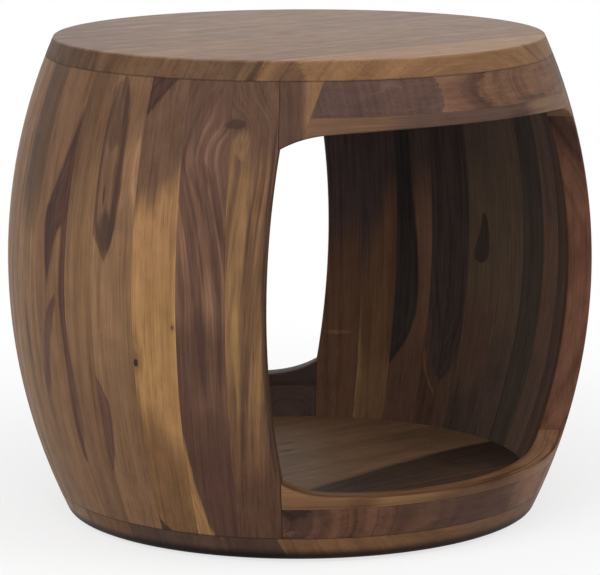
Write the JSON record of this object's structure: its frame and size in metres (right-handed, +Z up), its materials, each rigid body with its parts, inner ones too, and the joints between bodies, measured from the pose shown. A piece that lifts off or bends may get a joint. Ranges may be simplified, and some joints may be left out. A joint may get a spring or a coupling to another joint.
{
  "type": "drum side table",
  "caption": "Barrel-shaped wooden side table with a round top, walls of curved staves, an inner shelf floor and wide openings front and back.",
  "frame": {"origin": "on the ground, under the middle of the table", "axes": "+Z up, the front opening faces -Y and the back one +Y, the stave walls stand at -X and +X"},
  "size_m": [0.61, 0.5576, 0.5],
  "materials": {
    "top_wood": "satin, grey-brown",
    "stave_wood": "satin, figured",
    "rail_wood": "satin, dark heartwood",
    "strip_wood": "satin, pale sapwood",
    "base_wood": "satin",
    "floor_wood": "satin",
    "dowel_wood": "plain",
    "glide_pads": "matt black"
  },
  "bodies": {
    "root": {"top_board_1": "top_wood", "top_board_2": "top_wood", "top_board_3": "top_wood", "top_board_4": "top_wood", "top_board_5": "top_wood", "top_board_6": "top_wood", "left_stave_1": "stave_wood", "left_stave_2": "stave_wood", "left_stave_3": "stave_wood", "left_stave_4": "stave_wood", "left_stave_5": "stave_wood", "left_stave_6": "stave_wood", "left_stave_7": "stave_wood", "left_stave_8": "stave_wood", "left_stave_9": "stave_wood", "left_stave_10": "stave_wood", "right_stave_1": "stave_wood", "right_stave_2": "stave_wood", "right_stave_3": "stave_wood", "right_stave_4": "stave_wood", "right_stave_5": "stave_wood", "right_stave_6": "stave_wood", "right_stave_7": "stave_wood", "right_stave_8": "stave_wood", "right_stave_9": "stave_wood", "right_stave_10": "stave_wood", "front_lintel_block": "rail_wood", "front_lintel_rail": "rail_wood", "front_lintel_strip": "strip_wood", "front_sill_rail": "rail_wood", "front_sill_strip": "strip_wood", "back_lintel_block": "rail_wood", "back_lintel_rail": "rail_wood", "back_lintel_strip": "strip_wood", "back_sill_rail": "rail_wood", "back_sill_strip": "strip_wood", "base_board_1": "base_wood", "base_board_2": "base_wood", "base_board_3": "base_wood", "base_board_4": "base_wood", "base_board_5": "base_wood", "base_board_6": "base_wood", "base_board_7": "base_wood", "floor_board_1": "floor_wood", "floor_board_2": "floor_wood", "floor_board_3": "floor_wood", "floor_board_4": "floor_wood", "floor_board_5": "floor_wood", "top_dowels": "dowel_wood", "base_dowels": "dowel_wood", "floor_glides": "glide_pads"}
  },
  "joints": []
}
